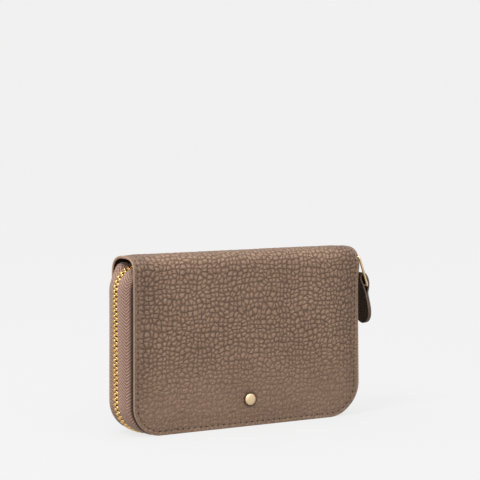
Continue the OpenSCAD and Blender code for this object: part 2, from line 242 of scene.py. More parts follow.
def repeated(unit, matrices):
    """One bmesh holding the unit shape at every matrix."""
    bm = bmesh.new()
    mesh = bpy.data.meshes.new("unit")
    unit.to_mesh(mesh)
    unit.free()
    for matrix in matrices:
        before = len(bm.verts)
        bm.from_mesh(mesh)
        bm.verts.ensure_lookup_table()
        bmesh.ops.transform(bm, matrix=matrix, verts=bm.verts[before:])
    bpy.data.meshes.remove(mesh)
    return bm


def block(size, centre=(0, 0, 0), round_over=0.15, segments=1):
    """A bmesh of a box with broken edges."""
    bm = bmesh.new()
    bmesh.ops.create_cube(bm, size=1)
    bmesh.ops.scale(bm, vec=size, verts=bm.verts)
    bmesh.ops.bevel(bm, geom=bm.edges[:], offset=round_over, segments=segments, profile=0.5,
                    affect="EDGES", material=-1)
    bmesh.ops.translate(bm, vec=centre, verts=bm.verts)
    return bm


def slab(outline, thickness, round_over, segments):
    """A bmesh of a flat outline in X and Y, made thickness high in Z, with broken edges."""
    bm = bmesh.new()
    face = bm.faces.new([bm.verts.new((x, y, 0)) for x, y in outline])
    top = bmesh.ops.extrude_face_region(bm, geom=[face])
    raised = [v for v in top["geom"] if isinstance(v, bmesh.types.BMVert)]
    bmesh.ops.translate(bm, vec=(0, 0, thickness), verts=raised)
    bmesh.ops.recalc_face_normals(bm, faces=bm.faces)
    rims = [e for e in bm.edges if abs(e.verts[0].co.z - e.verts[1].co.z) < 1e-6]
    bmesh.ops.bevel(bm, geom=rims, offset=round_over, segments=segments, profile=0.5, affect="EDGES",
                    material=-1)
    return bm


def joined(*parts):
    """Several bmeshes as one."""
    whole = bmesh.new()
    for part in parts:
        mesh = bpy.data.meshes.new("part")
        part.to_mesh(mesh)
        part.free()
        whole.from_mesh(mesh)
        bpy.data.meshes.remove(mesh)
    return whole


def turned(bm, matrix):
    bmesh.ops.transform(bm, matrix=matrix, verts=bm.verts)
    return bm


# ---------------------------------------------------------------- materials
class Recipe:
    """A material's node tree, with short calls for the nodes that its recipe uses."""

    def __init__(self, name, upright=False, **sockets):
        self.upright = upright
        self.material = bpy.data.materials.new(name)
        self.material.use_nodes = True
        self.nodes = self.material.node_tree.nodes
        self.links = self.material.node_tree.links
        self.shader = self.nodes["Principled BSDF"]
        for socket, value in sockets.items():
            self.shader.inputs[socket.replace("_", " ")].default_value = value

    def node(self, kind, inputs=None, **settings):
        made = self.nodes.new(kind)
        for name, value in settings.items():
            setattr(made, name, value)
        for name, value in (inputs or {}).items():
            self.put(value, made.inputs[name])
        return made

    def put(self, value, socket):
        if isinstance(value, bpy.types.NodeSocket):
            self.links.new(value, socket)
        elif isinstance(value, bpy.types.Node):
            self.links.new(value.outputs[0], socket)
        else:
            socket.default_value = value

    def math(self, operation, *values):
        made = self.nodes.new("ShaderNodeMath")
        made.operation = operation
        for value, socket in zip(values, made.inputs):
            self.put(value, socket)
        return made.outputs[0]

    def spread(self, value, low, high, out_low=0.0, out_high=1.0):
        """A soft step: value from low to high comes out from out_low to out_high."""
        made = self.node("ShaderNodeMapRange", interpolation_type="SMOOTHSTEP")
        for name, number in (("Value", value), ("From Min", low), ("From Max", high),
                             ("To Min", out_low), ("To Max", out_high)):
            self.put(number, made.inputs[name])
        return made.outputs["Result"]

    def blend(self, factor, a, b):
        made = self.node("ShaderNodeMix", data_type="RGBA")
        self.put(factor, made.inputs["Factor"])
        for value, socket in ((a, made.inputs[6]), (b, made.inputs[7])):
            self.put((*value, 1) if isinstance(value, tuple) else value, socket)
        return made.outputs[2]

    def bump(self, height, distance_mm, under=None):
        inputs = {"Height": height, "Distance": distance_mm * MM, "Strength": 1.0}
        if under:
            inputs["Normal"] = under
        return self.node("ShaderNodeBump", inputs).outputs["Normal"]

    def place(self):
        return self.node("ShaderNodeTexCoord").outputs["Object"]

    def parts(self, vector):
        """A vector's X, Y and Z."""
        return self.node("ShaderNodeSeparateXYZ", {"Vector": vector}).outputs

    def flat(self):
        """The piece's own flat cut; on an upright plain piece, its width and height, in decimetres too."""
        if not self.upright:
            return self.node("ShaderNodeUVMap", uv_map="flat").outputs["UV"]
        parts = self.parts(self.place())
        turned_up = {to: self.math("MULTIPLY", parts[of], 10.0) for to, of in ("XX", "YZ", "ZY")}
        return self.node("ShaderNodeCombineXYZ", turned_up).outputs[0]

    def stretched(self, vector, scale):
        return self.node("ShaderNodeMapping", {"Vector": vector, "Scale": scale}).outputs["Vector"]

    def noise(self, vector, scale, detail=3.0, roughness=0.5):
        return self.node("ShaderNodeTexNoise", {"Vector": vector, "Scale": scale, "Detail": detail,
                                                "Roughness": roughness}).outputs["Fac"]

    def done(self, colour=None, roughness=None, normal=None):
        for value, name in ((colour, "Base Color"), (roughness, "Roughness"), (normal, "Normal")):
            if value is not None:
                self.put(value, self.shader.inputs[name])
        return self.material


def srgb(red, green, blue):
    """A colour given as 0 to 255 in display values, as the shader's linear values."""
    return tuple((c / 255 / 12.92) if c < 10.3 else ((c / 255 + 0.055) / 1.055) ** 2.4
                 for c in (red, green, blue))


def cells(recipe, vector, scale, feature="DISTANCE_TO_EDGE"):
    made = recipe.node("ShaderNodeTexVoronoi", {"Vector": vector, "Scale": scale, "Randomness": 0.64},
                       voronoi_dimensions="2D", feature=feature)
    return made.outputs["Distance"]


def wandering(recipe, vector, scale, reach):
    """The same places, each moved a little aside, so that a pattern's lines wander."""
    wander = recipe.node("ShaderNodeTexNoise", {"Vector": vector, "Scale": scale, "Detail": 2.0})
    centred = recipe.node("ShaderNodeVectorMath", {0: wander.outputs["Color"], 1: (0.5, 0.5, 0.5)},
                          operation="SUBTRACT")
    shift = recipe.node("ShaderNodeVectorMath", {0: centred.outputs[0], "Scale": reach}, operation="SCALE")
    return recipe.node("ShaderNodeVectorMath", {0: vector, 1: shift.outputs[0]}, operation="ADD").outputs[0]


COVER_GRAIN = 37.5      # pebbles to the decimetre
TAB_GRAIN = 62.0


def grained_leather(name, low, high, crease, grain=COVER_GRAIN, margins=True, stud_at=None, **sockets):
    """Pebbled cowhide: rounded pebbles parted by soft creases, darkened with painted shade.

    With margins, the grain is calmer along the sides and near the foot, and near the foot the pebbles turn
    into fine upright creases; painted shade darkens the sides and the foot. stud_at is the place of a stud on
    the flat cut, where the leather is pressed in, with a painted shadow ring round the stud.
    """
    r = Recipe(name, IOR=1.45, **sockets)
    flat = r.flat()
    moved = flat
    for wander_scale, reach in ((5.0, 0.07), (20.0, 0.022), (75.0, 0.008)):
        moved = wandering(r, moved, wander_scale, reach)

    # the pebbles: steep at their edges, domed, and split here and there
    edge = r.spread(cells(r, moved, grain), 0.0, 0.34)
    dome = r.spread(cells(r, moved, grain, "F1"), 0.05, 0.7, 1.0, 0.0)
    split = r.spread(cells(r, moved, grain * 1.9), 0.0, 0.2)
    height = r.math("ADD", r.math("MULTIPLY", edge, 0.5), r.math("MULTIPLY", dome, 0.36))
    height = r.math("ADD", height, r.math("MULTIPLY", split, 0.14))
    valley = r.math("POWER", r.math("SUBTRACT", 1.0, height), 1.6)

    calm, shade = 1.0, 0.0
    if margins:
        across, up, _ = r.parts(flat)
        foot = r.spread(up, 0.05, 0.5, 0.6, 0.0)
        side = r.spread(r.math("ABSOLUTE", across), 0.5, 0.7)
        calm = r.math("SUBTRACT", 1.0, r.math("MAXIMUM", foot, r.spread(side, 0.88, 1.0, 0.0, 0.6)))
        # painted shade: darker along the sides and near the foot
        shade = r.math("MAXIMUM", r.math("MULTIPLY", side, 0.3), r.math("MULTIPLY", foot, 0.34))
    valley = r.math("MULTIPLY", valley, calm)
    if margins:
        streaks = r.noise(r.stretched(moved, (105.0, 30.0, 1.0)), 1.0, 2.0)
        streaks = r.math("MULTIPLY", r.spread(streaks, 0.36, 0.56, 0.75, 0.0), foot)
        valley = r.math("MAXIMUM", valley, streaks)

    # the colour: slow clouds, darker pores, and painted shade in the valleys, along the margins and round the
    # stud
    pores = r.noise(moved, 230.0, 4.0, 0.65)
    clouds = r.noise(flat, 3.4, 3.0)
    base = r.blend(r.spread(clouds, 0.3, 0.7), low, high)
    base = r.blend(r.spread(pores, 0.3, 0.62, 0.5, 0.0), base, crease)
    # painted shade in the pebbles' creases
    base = r.blend(r.math("MULTIPLY", valley, 0.76), base, crease)
    # painted shade along the sides and near the foot
    base = r.blend(shade, base, crease)
    if stud_at:
        # a painted shadow ring round the stud
        away = r.node("ShaderNodeVectorMath", {0: flat, 1: (*stud_at, 0)}, operation="DISTANCE")
        base = r.blend(r.spread(away.outputs["Value"], 0.034, 0.052, 0.75, 0.0), base, crease)
    rough = r.spread(valley, 0.0, 1.0, 0.44, 0.8)
    normal = r.bump(r.math("MULTIPLY", height, calm), 0.68, r.bump(pores, 0.08))
    return r.done(base, rough, normal)


def painted_edge(name, low, high):
    """The cut edge, painted a little lighter and smoother than the grain."""
    r = Recipe(name, Roughness=0.5)
    flat = r.flat()
    tone = r.blend(r.noise(flat, 30.0), low, high)
    return r.done(tone, None, r.bump(r.noise(flat, 120.0), 0.08))


def flesh_side():
    """The leather's back, a short nap; its dark tone is painted shade."""
    r = Recipe("flesh side", Roughness=0.95, Specular_IOR_Level=0.1)
    flat = r.flat()
    return r.done(r.blend(r.noise(flat, 90.0, 4.0, 0.7), srgb(38, 24, 14), srgb(58, 39, 25)), None,
                  r.bump(r.noise(flat, 260.0), 0.08))


def smooth_leather(name, low, high):
    """Plainer, tightly creased leather, on the upright card slots, with painted shade in its creases."""
    r = Recipe(name, upright=True, Roughness=0.5)
    flat = r.flat()
    creases = cells(r, wandering(r, flat, 30.0, 0.01), 95.0)
    tone = r.blend(r.noise(flat, 14.0), low, high)
    # painted shade in the creases
    tone = r.blend(r.spread(creases, 0.0, 0.2, 0.35, 0.0), tone, srgb(40, 28, 20))
    return r.done(tone, None, r.bump(r.spread(creases, 0.0, 0.3), 0.08))


def woven(name, dark, light, threads, upright=False, stripe=0.0, crevice_shade_to=None):
    """Cloth in a twill weave; threads to the decimetre. The ribs turn back at every stripe, a herringbone.
    Its tone follows the ribs: painted light on their tops and painted shade in the grooves, with a random
    fuzz.

    A place given last paints shade in the crevice under the leather's edge: it darkens the cloth from its
    hidden long edge, at negative u, to that place.
    """
    r = Recipe(name, upright, Roughness=0.85, Sheen_Weight=0.2, Sheen_Roughness=0.5)
    flat = wandering(r, r.flat(), 60.0, 0.005)
    u, v, _ = r.parts(flat)
    across = r.math("PINGPONG", u, stripe) if stripe else u
    slant = r.math("ADD", r.math("MULTIPLY", across, 1.1), v)
    rib = r.math("SINE", r.math("MULTIPLY", slant, threads * 2 * math.pi))
    weft = r.math("SINE", r.math("MULTIPLY", u, threads * 4.6 * math.pi))
    height = r.math("ADD", r.math("MULTIPLY", rib, 0.42), r.math("MULTIPLY", weft, 0.14))
    height = r.math("ADD", height, 0.5)
    fuzz = r.noise(flat, 95.0, 3.0, 0.7)
    # painted light and shade of the weave: rib tops lighter, grooves darker, with a random fuzz
    lit = r.math("ADD", r.math("MULTIPLY", height, 0.62), r.math("MULTIPLY", fuzz, 0.42))
    tone = r.blend(lit, dark, light)
    if crevice_shade_to is not None:
        # painted shade in the crevice under the leather's edge
        tone = r.blend(r.spread(u, crevice_shade_to - 0.016, crevice_shade_to, 0.92, 0.0), tone, srgb(38, 25, 18))
    return r.done(tone, None, r.bump(height, 0.22))


def plated(name, low, high, rough_low, rough_high):
    """Gold plated metal with faint swirls of polish."""
    r = Recipe(name, Metallic=1.0)
    place = r.place()
    swirl = r.noise(place, 900.0, 2.0)
    wear = r.noise(place, 260.0, 3.0)
    return r.done(r.blend(wear, low, high), r.spread(wear, 0.3, 0.7, rough_low, rough_high),
                  r.bump(swirl, 0.02))


def knurled(low, high, cut_pitch):
    """Pale gold plate, cut with fine crossed lines, on the stud's round face."""
    r = Recipe("knurled gold", Metallic=1.0)
    place = r.place()
    x, _, z = r.parts(place)
    waves = []
    for way in (1.0, -1.0):
        slant = r.math("ADD", r.math("MULTIPLY", x, way), z)
        waves.append(r.math("SINE", r.math("MULTIPLY", slant, 2 * math.pi / (cut_pitch * MM))))
    cut = r.spread(r.math("MULTIPLY", *waves), -0.6, 0.6)
    wear = r.noise(place, 500.0, 3.0)
    tone = r.blend(cut, low, high)
    return r.done(tone, r.spread(wear, 0.3, 0.7, 0.3, 0.45), r.bump(cut, 0.07))


def speckled(name, roughness, speckle, low, high):
    """A plain dull surface with a fine speckle."""
    r = Recipe(name, Roughness=roughness)
    return r.done(r.blend(r.noise(r.place(), speckle), low, high))


# the hide's two tones, and its dark tone, used for the pores and for painted shade
HIDE = (srgb(150, 119, 96), srgb(160, 128, 104), srgb(44, 28, 19))
FRONT_LEATHER = grained_leather("front leather", *HIDE, stud_at=(STUD_X / 100, STUD_Z / 100))
BACK_LEATHER = grained_leather("back leather", *HIDE)
# the tab's leather is a darker copy of the cover's: painted shade, for the tab's face that hangs in shadow
# against the wallet
SHADED_TAB_HIDE = (srgb(58, 37, 21), srgb(70, 47, 29), srgb(20, 11, 5))
SHADED_TAB_LEATHER = grained_leather("tab leather in painted shade", *SHADED_TAB_HIDE, TAB_GRAIN, margins=False, Specular_IOR_Level=0.12)
EDGE_PAINT = painted_edge("painted edge", srgb(140, 113, 91), srgb(162, 133, 109))
# the tab's edge, darker than the cover's painted edge: painted shade
SHADED_TAB_EDGE = painted_edge("tab edge in painted shade", srgb(82, 64, 50), srgb(98, 79, 64))
# the leather's back, dark with painted shade
FLESH_IN_SHADE = flesh_side()
SLOT_LEATHER = smooth_leather("card slot leather", srgb(112, 90, 74), srgb(128, 104, 86))
TAPE_CLOTH = woven("zip tape twill", srgb(50, 30, 22), srgb(184, 147, 127), 60.0, stripe=0.032, crevice_shade_to=-0.012)
COIN_TAPE = woven("coin zip tape", srgb(104, 76, 64), srgb(176, 144, 126), 80.0, True)
LINING_CLOTH = woven("lining cloth", srgb(62, 47, 38), srgb(92, 72, 60), 150.0, True)
GUSSET_CLOTH = woven("gusset cloth", srgb(62, 47, 38), srgb(92, 72, 60), 150.0)
THREAD = woven("sewing thread", srgb(92, 71, 56), srgb(128, 103, 84), 260.0, True)
GOLD = plated("gold plating", srgb(244, 208, 154), srgb(255, 232, 190), 0.12, 0.24)
STUD_GOLD = knurled(srgb(226, 182, 124), srgb(255, 238, 208), 1.15)
TOOTH_GOLD = plated("gold teeth", srgb(230, 172, 88), srgb(255, 224, 152), 0.08, 0.18)
# dark discs for the seam: painted shade in the needle holes
NEEDLE_HOLE_SHADE = speckled("needle hole shade", 0.9, 600.0, srgb(26, 17, 12), srgb(40, 28, 20))
BOARD = speckled("stiffening board", 0.8, 400.0, srgb(128, 118, 104), srgb(150, 140, 126))


# ---------------------------------------------------------------- the leather cover
FRONT, BACK = -1, 1
SHOULDER_Z = HEIGHT - 11.0
SHOULDER_Y = {FRONT: FACE + 0.55, BACK: FACE + 1.2}
CROWN = {FRONT: 3.0, BACK: 2.6}     # how square the round over the shoulder is; 2 is a plain round
PROFILE_STEPS = 800


def cover_profile(side):
    """The cover's outer line, from the zip edge up and over to the spine's middle: its length, and (y, z)."""
    shoulder = SHOULDER_Y[side]
    line = [Vector((-mix(FACE, shoulder, ease(i / 40)), SHOULDER_Z * i / 40)) for i in range(40)]
    for i in range(61):
        angle = math.pi / 2 * i / 60
        line.append(Vector((-shoulder * math.cos(angle) ** (2 / CROWN[side]),
                            SHOULDER_Z + (HEIGHT - SHOULDER_Z) * math.sin(angle) ** (2 / CROWN[side]))))
    return evenly(line, PROFILE_STEPS)


COVER_LINE = {side: cover_profile(side) for side in (FRONT, BACK)}


def on_profile(v, side):
    long, even = COVER_LINE[side]
    f = min(max(v / long, 0.0), 1.0) * PROFILE_STEPS
    i = min(int(f), PROFILE_STEPS - 1)
    return even[i].lerp(even[i + 1], f - i)


def corner(u):
    return RIGHT_CORNER if u > 0 else CORNER


def edge_distance(u, v):
    """How far a point of the flat cover is from its cut edge, on the three free sides."""
    side, r = HALF_W - abs(u), corner(u)
    if side < r and v < r:
        return r - math.hypot(r - side, r - v)
    return min(side, v)


def cover_outline(u, v):
    """Draws the flat grid's two lower corners round."""
    r = corner(u)
    a = abs(u) - (HALF_W - r)
    b = r - v
    if a <= 0 or b <= 0:
        return u, v
    shrink = max(a, b) / math.hypot(a, b)
    return math.copysign(HALF_W - r + a * shrink, u), r - b * shrink


def relief(u, v, side):
    """How far the leather stands out of its plain form, for its swell, seam, stud, slow waves and pebbles."""
    inset = edge_distance(u, v)
    swell = -0.32 * (1 - ease((inset - 2.6) / 7.0))
    sunk = -0.22 * hump(inset - SEAM_INSET, 0.6)
    from_stud = math.hypot(u - STUD_X, v - STUD_Z)
    dip = -0.35 * hump(from_stud, 5.5) - 0.25 * hump(from_stud - STUD_R, 0.8) if side == FRONT else 0.0
    drift = 0.2 * noise.noise(Vector((u / 34, v / 26, 0.3 * side)))
    pebbles = 0.16 * noise.noise(Vector((u / 1.9, v / 1.9, 4.0 * side))) * ease((inset - 3) / 3)
    return swell + sunk + dip + drift * ease(inset / 10) + pebbles


def place_cover(u, v, depth, side):
    """A point of the flat cover, put round the wallet. At the top right the leather flares out a little."""
    point = on_profile(v, side)
    ahead = on_profile(v + 0.4, side) - on_profile(v - 0.4, side)
    out = Vector((-ahead.y, ahead.x)).normalized()
    lift = relief(u, v, side) * (1 - min(1.0, depth / 0.8)) - depth
    flare = 0.9 * hump(point.y - 85, 5.5) * ease((u - 58) / 12)
    return Vector((u + flare, -side * (point.x + out.x * lift), point.y + out.y * lift))


def leather_half(name, side, replaced):
    long = COVER_LINE[side][0]
    steps = (round(2 * HALF_W / MESH_STEP), round(long / MESH_STEP))
    bm = sheet(2 * HALF_W, long, steps, LEATHER_T, lambda u, v, d: place_cover(u, v, d, side),
               cover_outline, LEATHER_ROUND, open_top=True, rim_slot=1, inner_slot=2)
    hide = FRONT_LEATHER if side == FRONT else BACK_LEATHER
    piece = finished(bm, name, None, [hide, EDGE_PAINT, FLESH_IN_SHADE], replaced, 60)
    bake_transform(piece)
    return piece


leather_half("front_leather", FRONT, ["front_cover", "spine_cover"])
leather_half("back_leather", BACK, ["back_cover"])


# ---------------------------------------------------------------- seams
def seam_path(long):
    """The sewing line on the flat cover, up both sides and round the foot; it stops short of the spine."""
    w, left, right = HALF_W - SEAM_INSET, CORNER - SEAM_INSET, RIGHT_CORNER - SEAM_INSET
    top = long - 10.0
    return [straight((-w, top), (-w, CORNER)), bend((left - w, CORNER), left, 180, 270),
            straight((left - w, SEAM_INSET), (w - right, SEAM_INSET)),
            bend((w - right, RIGHT_CORNER), right, 270, 360), straight((w, RIGHT_CORNER), (w, top))]


def seam_matrix(path, s, side, sink):
    """Stands a unit on the seam: its Y along the seam, its Z out of the leather."""
    k, f = locate(path, s)
    (u, v), facing = path[k]["at"](f)
    here = place_cover(u, v, 0, side)
    du, dv = -math.sin(facing), math.cos(facing)
    along = (place_cover(u + du * 0.3, v + dv * 0.3, 0, side) - here).normalized()
    out = here - place_cover(u, v, 1.0, side)
    across = along.cross(out).normalized()
    out = across.cross(along)
    turn = Matrix((across, along, out)).transposed().to_4x4()
    return Matrix.Translation(here + out * sink) @ turn


def bead(size):
    """A small round, long in Y: a stitch of thread, or a dark disc of painted shade where a needle went
    through.
    """
    bm = bmesh.new()
    bmesh.ops.create_uvsphere(bm, u_segments=8, v_segments=5, radius=0.5)
    bmesh.ops.rotate(bm, matrix=Matrix.Rotation(math.pi / 2, 3, "X"), verts=bm.verts)
    bmesh.ops.scale(bm, vec=size, verts=bm.verts)
    return bm


def seam(name, side, replaced):
    """Stitches sunk in the leather, with a dark disc of painted shade where the needle went through, between
    each and the next.
    """
    path = seam_path(COVER_LINE[side][0])
    count = round(length(path) / STITCH)
    pitch = length(path) / count
    threads = repeated(bead((0.42, 2.3, 0.3)), [seam_matrix(path, (i + 0.5) * pitch, side, -0.01)
                                                for i in range(count)])
    # dark discs laid on the leather where the needle went through: painted shade in the holes
    hole_shades = repeated(bead((0.78, 1.35, 0.3)), [seam_matrix(path, i * pitch, side, 0.02)
                                               for i in range(count + 1)])
    for face in hole_shades.faces:
        face.material_index = 1
    bm = joined(threads, hole_shades)
    piece = finished(bm, name, None, [THREAD, NEEDLE_HOLE_SHADE], replaced)
    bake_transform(piece)


seam("front_stitching", FRONT, ["front_seam"])
seam("back_stitching", BACK, ["back_seam"])


# ---------------------------------------------------------------- the zip's line
LEAN_DEG = 1
LEAN = math.radians(LEAN_DEG)
CHAIN_LEFT, CHAIN_RIGHT = -74.6, 74.4
CHAIN_FOOT, CHAIN_HEAD = 1, 90.5
UPPER_BEND, LOWER_BEND = 13, 17
UPPER_Z, LOWER_Z = 76, 18
TOP_CENTRE = (CHAIN_LEFT + UPPER_BEND, UPPER_Z)
LEFT_CENTRE = (CHAIN_LEFT + LOWER_BEND, LOWER_Z)
RIGHT_CENTRE = (CHAIN_RIGHT - LOWER_BEND, LOWER_Z)
RIGHT_FOOT = Vector(RIGHT_CENTRE) + LOWER_BEND * Vector((math.cos(LEAN), math.sin(LEAN)))
RIGHT_HEAD = RIGHT_FOOT + (CHAIN_HEAD - RIGHT_FOOT.y) * Vector((-math.tan(LEAN), 1))
TAPE_STEPS = 40

# stretch 0 is the bend under the spine's left end; then come the left side, the foot and the right side
CHAIN = [bend(TOP_CENTRE, UPPER_BEND, 90, 180), straight((CHAIN_LEFT, UPPER_Z), (CHAIN_LEFT, LOWER_Z)),
         bend(LEFT_CENTRE, LOWER_BEND, 180, 270),
         straight((LEFT_CENTRE[0], CHAIN_FOOT), (RIGHT_CENTRE[0], CHAIN_FOOT)),
         bend(RIGHT_CENTRE, LOWER_BEND, 270, 360 + LEAN_DEG), straight(RIGHT_FOOT, RIGHT_HEAD)]
CHAIN_L = length(CHAIN)
RIM = [None, straight((-HALF_W, UPPER_Z), (-HALF_W, CORNER)),
       bend((CORNER - HALF_W, CORNER), CORNER, 180, 270),
       straight((CORNER - HALF_W, 0), (HALF_W - CORNER, 0)),
       bend((HALF_W - CORNER, CORNER), CORNER, 270, 360),
       straight((HALF_W, CORNER), (HALF_W, 84))]


def rim_point(k, f):
    """The point of the cover's edge that the tape comes out of, or the tape's own edge on stretch 0."""
    if k:
        return RIM[k]["at"](f)[0]
    return Vector((-HALF_W + 9 * (1 - f) ** 2, UPPER_Z + 11 * math.sin(math.pi / 2 * (1 - f))))


def tape_section(s, side):
    """The tape's cross-section at distance s along the chain, from under the leather to the teeth.

    full is how far the tape bulges beside the teeth. tail is how far the back tape's loose end, folded away
    under the spine's left end, stands up.
    """
    k, f = locate(CHAIN, s)
    chain, facing = CHAIN[k]["at"](f)
    out = Vector((math.cos(facing), math.sin(facing)))
    rim = rim_point(k, f)
    gap = (chain - rim).dot(out)
    half, flange, tail = TAPE_Y, 5.0, 0.0
    if k == 0:
        half = mix(5.5, TAPE_Y, ease((f - 0.2) / 0.4)) if side == FRONT else mix(8.6, TAPE_Y, ease(f / 0.4))
        flange = mix(1.5, flange, ease(f / 0.6))
        tail = 2.9 * hump(f - 0.28, 0.24) if side == BACK else 0.0
    full = TAPE_BULGE * min(1.0, max(0.0, gap / 3.5))
    if side == BACK and k < 3:
        full *= mix(1.5, 0.3, ease((chain.y - 20) / 55))
    # points, and how far each is from the teeth (0) to the leather (1)
    across = [(rim - flange * out, 1),
              (rim + min(-1.8, gap - 1.5) * out, 1),
              (rim + min(-0.9, gap - 0.6) * out, 0.94),
              (rim.lerp(chain, 0.1) + min(0, 0.4 * gap) * out, 0.87),
              (rim.lerp(chain, 0.5) + (min(0, 0.2 * gap) + 0.8 * tail) * out, 0.78),
              (rim.lerp(chain, 0.95) + (0.15 * full + tail) * out, 0.64),
              (chain + (0.8 * full + 0.7 * tail) * out, 0.43),
              (chain + (full + 0.25 * tail) * out, 0.27),
              (chain + 0.45 * full * out, 0.19), (chain, 0.08), (chain, -0.15)]
    return [Vector((p.x, side * mix(ROW_EDGE, half, y), p.y)) for p, y in across], Vector((out.x, 0, out.y))


@functools.lru_cache(maxsize=None)
def tape_curve(s, side):
    """The same cross-section as points evenly across the tape, with the tape's outward direction."""
    section, out = tape_section(s, side)
    fine = [smooth_line(section, i / 60) for i in range(61)]
    return evenly(fine, TAPE_STEPS)[1], out


def place_tape(u, v, depth, side):
    even, out = tape_curve(round(v, 4), side)
    t = (u / TAPE_W + 0.5) * TAPE_STEPS
    i = min(max(int(t), 0), TAPE_STEPS - 1)
    run = even[min(i + 1, TAPE_STEPS)] - even[max(i - 1, 0)]
    flat_run = Vector((run.dot(out), run.y)).normalized()
    away = Vector((-flat_run.y, flat_run.x)) * -side
    shift = TAPE_T / 2 - depth
    return even[i].lerp(even[i + 1], t - i) + out * away.x * shift + Vector((0, away.y * shift, 0))


def zip_tape(name, side, body, replaced):
    bm = sheet(TAPE_W, CHAIN_L, (26, 300), TAPE_T, lambda u, v, d: place_tape(u, v, d, side))
    piece = finished(bm, name, body, TAPE_CLOTH, replaced, 60)


zip_tape("front_tape", FRONT, "front_half", ["front_zip_tape"])
zip_tape("back_tape", BACK, "back_half", ["back_zip_tape"])


# ---------------------------------------------------------------- teeth
def tooth():
    """One tooth: a clasp on the tape's edge and a wider head that reaches to the middle. X is outward."""
    clasp = block((1.9, 1.5, 1.4), (0, -1.9, 0), 0.24)
    head = block((1.7, 1.7, 1.8), (0.1, -1.03, 0), 0.42, 2)
    return joined(clasp, head)


def chain_matrix(s, side):
    k, f = locate(CHAIN, s)
    (x, z), facing = CHAIN[k]["at"](f)
    flip = Matrix.Diagonal((1, -side, 1, 1))
    return Matrix.Translation((x, 0, z)) @ Matrix.Rotation(-facing, 4, "Y") @ flip


def teeth_row(name, side, body, replaced):
    """The two rows stand half a pitch apart along the chain."""
    count = int(CHAIN_L / TOOTH_PITCH)
    offset = 0.25 if side == FRONT else 0.75
    bm = repeated(tooth(), [chain_matrix(TOOTH_PITCH * (i + offset) + 0.2, side) for i in range(count)])
    bmesh.ops.recalc_face_normals(bm, faces=bm.faces)
    finished(bm, name, body, TOOTH_GOLD, replaced, 50)


teeth_row("front_teeth", FRONT, "front_half", ["front_zip_teeth"])
teeth_row("back_teeth", BACK, "back_half", ["back_zip_teeth"])


# ---------------------------------------------------------------- stud
def stud():
    """A round rivet head with a soft dome and a rolled rim, standing on the leather."""
    bm = bmesh.new()
    outline = [(0, 1.0), (1.4, 0.97), (2.35, 0.86), (2.8, 0.7), (3.1, 0.45), (STUD_R, 0.15), (3.2, -0.35),
               (1.0, -0.4), (1.0, -2.7), (0, -2.7)]
    verts = [bm.verts.new((r, 0, h)) for r, h in outline]
    edges = [bm.edges.new(pair) for pair in zip(verts, verts[1:])]
    bmesh.ops.spin(bm, geom=verts + edges, cent=(0, 0, 0), axis=(0, 0, 1), angle=2 * math.pi, steps=48,
                   use_merge=True)
    bmesh.ops.remove_doubles(bm, verts=bm.verts, dist=1e-4)
    bmesh.ops.recalc_face_normals(bm, faces=bm.faces)
    turned(bm, Matrix.Translation((STUD_X, -FACE - 0.1, STUD_Z)) @ Matrix.Rotation(math.pi / 2, 4, "X"))
    finished(bm, "stud_head", "front_half", STUD_GOLD, ["stud"], 35)


stud()


# ---------------------------------------------------------------- sliders
PLATE_T = 0.8


def plate(half_w, long, x):
    """A slider's plate, narrower at the mouth and rounded at the nose; it faces X and lies along Z."""
    waist, nose = half_w - 0.3, long / 2
    right = [(waist, -nose), (half_w, long / 6), (half_w, nose - 1.9), (half_w - 0.6, nose - 0.6),
             (half_w - 1.9, nose)]
    outline = [(-waist, -nose), *right, *((-y, z) for y, z in right[:0:-1])]
    stand = Matrix(((0, 0, 1, x), (1, 0, 0, 0), (0, 1, 0, 0), (0, 0, 0, 1)))
    return turned(slab(outline, PLATE_T, 0.26, 3), stand)


def bridge(long, x):
    """The bent strap over the outer plate, which the pull hangs from."""
    line = [Vector(p) for p in ((x + 0.1, -long / 2 + 2.2), (x + 1.75, -long / 2 + 2.9), (x + 2.35, -0.9),
                                (x + 2.45, 1.6), (x + 2.55, long / 2 - 1.2), (x + 1.6, long / 2 + 0.6),
                                (x + 0.1, long / 2 - 0.4))]

    def place(u, v, depth):
        here = smooth_line(line, v / long)
        ahead = smooth_line(line, v / long + 0.02) - smooth_line(line, v / long - 0.02)
        out = Vector((ahead.y, -ahead.x)).normalized() * (0.42 - depth)
        return Vector((here.x + out.x, u, here.y + out.y))
    return sheet(2.2, long, (4, 20), 0.84, place, round_over=0.22)


def slider_shape(long, w_out, w_in, gap):
    """Two plates with a gap for the teeth, the bridge on the outer one, and the thin divider between them."""
    return [plate(w_out, long, gap), plate(w_in, long, -gap - PLATE_T), bridge(long, gap + PLATE_T),
            block((2 * gap + 0.1, 0.32, 2.5), (0, 0, long / 2 - 2.25), 0.1, 2)]


def zip_slider():
    """The slider at the head of the chain, with a flange on its back side only."""
    centre = RIGHT_HEAD - (ZIP_SLIDER_L / 2 + 0.1) * Vector((-math.sin(LEAN), math.cos(LEAN)))
    parts = slider_shape(ZIP_SLIDER_L, 3.6, 3.4, 1.0)
    parts.append(block((0.6, 0.5, ZIP_SLIDER_L / 2), (0.75, 3.05, -ZIP_SLIDER_L / 4), 0.12))
    place = Matrix.Translation((centre.x, 0, centre.y)) @ Matrix.Rotation(-LEAN, 4, "Y")
    finished(turned(joined(*parts), place), "slider_body", "zip_slider", GOLD, ["zip_slider"],
             50)


def coin_slider():
    place = Matrix.Translation((COIN_SLIDER_X, 0, 20)) @ Matrix.Rotation(math.pi / 2, 4, "Y")
    finished(turned(joined(*slider_shape(COIN_SLIDER_L, 2.9, 2.1, 0.9)), place), "coin_slider_body",
             "coin_slider", GOLD, ["coin_slider"], 50)


zip_slider()
coin_slider()


